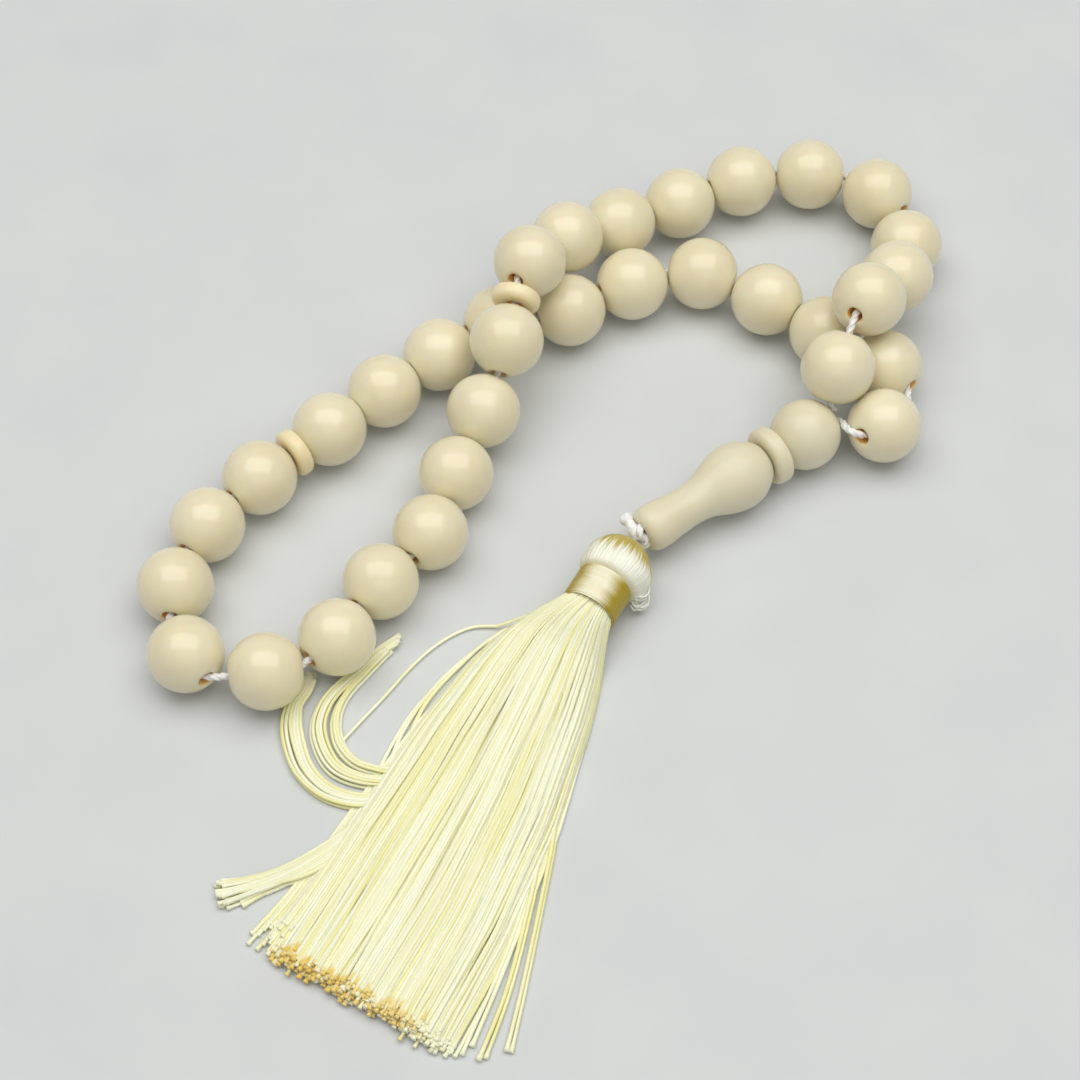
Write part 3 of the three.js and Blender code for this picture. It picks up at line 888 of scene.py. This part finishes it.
def make_stray_thread(material, rng):
    """The one thread that runs from the binding down to the table and off to the left."""
    skin = Skin()
    steps = 90
    route = [
        (8.6, -4.6), (10.4, -7), (12.2, -9.4), (14.2, -12.7), (16.4, -14.3),
        (19.5, -15.6), (23.4, -16.5), (28.3, -17.1), (32.9, -17.8), (37.2, -18.4),
    ]
    heights = np.interp(np.linspace(0, 1, steps), (0, 0.1, 0.2, 0.3, 1), (4.0, 2.2, 0.5, 0.3, 0.3))
    line = np.column_stack((smooth_line(route, steps), heights)) * MM
    add_thread(skin, rng, line, 0.0)
    hang(skin, "stray_silk_thread", material, "tassel_silk", "stray_thread")


def make_tuft(material, rng):
    """Strands that have sprung out of the head beside the binding, in small loops."""
    skin = Skin()
    for _ in range(TUFT_STRANDS):
        bulge = rng.uniform(0.2, 1.0)
        height = rng.uniform(1.6, 4.4)
        start = rng.uniform(-0.4, 0.5)
        loop = [
            (start - 0.5, 4.2, height + 0.4),
            (start, 4.75 + 0.3 * bulge, height),
            (start + 1, 4.5 + bulge, height - 0.3),
            (start + 1.9, 4.2 + 0.6 * bulge, height - 0.1),
            (start + 1.7, 3.7, height + 0.3),
        ]
        line = from_tassel(smooth_line(loop, 30) * MM)
        thickness = rng.uniform(0.09, 0.13) * MM
        skin.add_tube(line, thickness, sides=6, gold=0.0, tint=rng.uniform(0, 0.3))
    hang(skin, "silk_tuft", material, "string_cord", "head_tuft")


def make_tassel(cord):
    rng = random.Random(SEED)
    thread = silk(
        "cream_silk",
        pale=srgb(249, 251, 225),
        shade=srgb(242, 238, 172),
        # the colour of the painted light and shade at the threads' cut ends
        gold=srgb(236, 202, 84),
        roughness=0.4,
    )
    band = silk(
        "gold_silk",
        # pale and shade make up the painted highlight along the binding's top
        pale=srgb(255, 253, 234),
        shade=srgb(248, 241, 204),
        gold=srgb(178, 156, 20),
        roughness=0.3,
        turning=0.6,
        sheen=0.1,
    )
    head = silk(
        "head_silk",
        pale=srgb(254, 255, 240),
        shade=srgb(251, 251, 228),
        # the colour of the painted shade over the crown and beside the binding
        gold=srgb(188, 166, 12),
        roughness=0.36,
        turning=0.3,
        sheen=0.25,
    )
    tuft = silk(
        "tuft_silk",
        pale=srgb(252, 252, 244),
        shade=srgb(240, 238, 216),
        gold=srgb(240, 238, 216),
        roughness=0.4,
    )
    make_head(head, rng)
    make_hanger(cord)
    make_binding(band, rng)
    make_skirt(thread, rng)
    make_right_threads(thread, rng)
    make_left_threads(thread, rng)
    make_outer_curl(thread, rng)
    make_inner_curl(thread, rng)
    make_stray_thread(thread, rng)
    make_tuft(tuft, rng)


# ---------------------------------------------------------------- light and floor

def make_floor():
    mesh = bpy.data.meshes.new("floor")
    signs = ((-1, -1), (1, -1), (1, 1), (-1, 1))
    corners = [(x * FLOOR_HALF, y * FLOOR_HALF, FLOOR_LEVEL) for x, y in signs]
    mesh.from_pydata(corners, [], [(0, 1, 2, 3)])
    mesh.materials.append(floor_material())
    floor = bpy.data.objects.new("floor", mesh)
    bpy.context.scene.collection.objects.link(floor)


def make_light(name, location, size, power, colour):
    """A rectangular light that faces the middle of the object."""
    data = bpy.data.lights.new(name, "AREA")
    data.shape = "RECTANGLE"
    data.size, data.size_y = size
    data.energy = power
    data.color = colour
    light = bpy.data.objects.new(name, data)
    light.location = location
    light.rotation_euler = (-Vector(location)).to_track_quat("-Z", "Y").to_euler()
    bpy.context.scene.collection.objects.link(light)


def make_world():
    world = bpy.data.worlds.new("studio")
    world.use_nodes = True
    background = world.node_tree.nodes["Background"]
    background.inputs["Color"].default_value = WORLD_COLOUR
    background.inputs["Strength"].default_value = WORLD_STRENGTH
    bpy.context.scene.world = world


def main():
    make_camera()
    cord = cord_white()
    make_string(cord)
    make_beads()
    make_imam()
    make_tassel(cord)
    make_floor()
    make_light("key", KEY_AT, KEY_SIZE, KEY_POWER, KEY_COLOUR)
    make_light("fill", FILL_AT, FILL_SIZE, FILL_POWER, FILL_COLOUR)
    make_world()
    bpy.context.scene.view_settings.view_transform = "Standard"


main()
